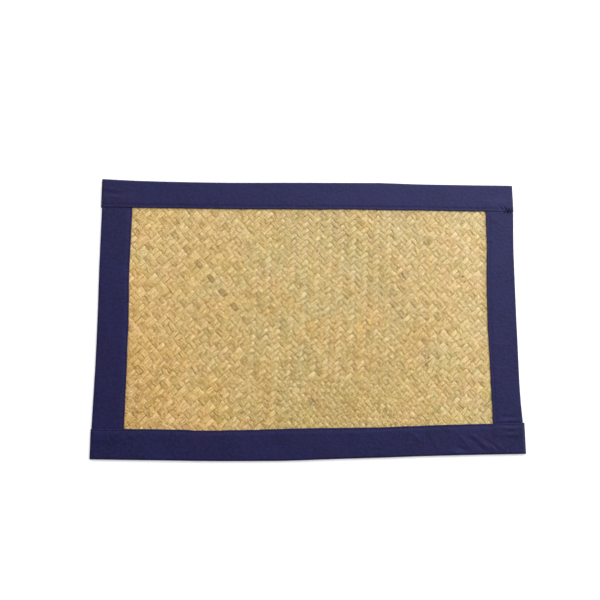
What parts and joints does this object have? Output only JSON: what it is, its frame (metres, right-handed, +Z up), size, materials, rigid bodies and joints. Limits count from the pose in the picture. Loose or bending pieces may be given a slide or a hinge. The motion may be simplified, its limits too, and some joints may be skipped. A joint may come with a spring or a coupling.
{
  "type": "placemat",
  "caption": "Rectangular table placemat: a flat plaited sedge panel with its edges bound in folded strips of navy cloth.",
  "frame": {"origin": "on the surface that the mat lies on, under the middle of its box", "axes": "+X along the long side, to the right in the picture; +Y towards the back edge, the top of the picture; +Z up"},
  "size_m": [0.4524, 0.2986, 0.0055],
  "materials": {
    "sedge": "plaited flat strips of dry sedge, straw coloured, satin",
    "binding_cloth": "closely woven navy cotton, matt"
  },
  "bodies": {
    "root": {"woven_panel": "sedge", "binding_back": "binding_cloth", "binding_front": "binding_cloth", "binding_left": "binding_cloth", "binding_right": "binding_cloth"}
  },
  "joints": []
}
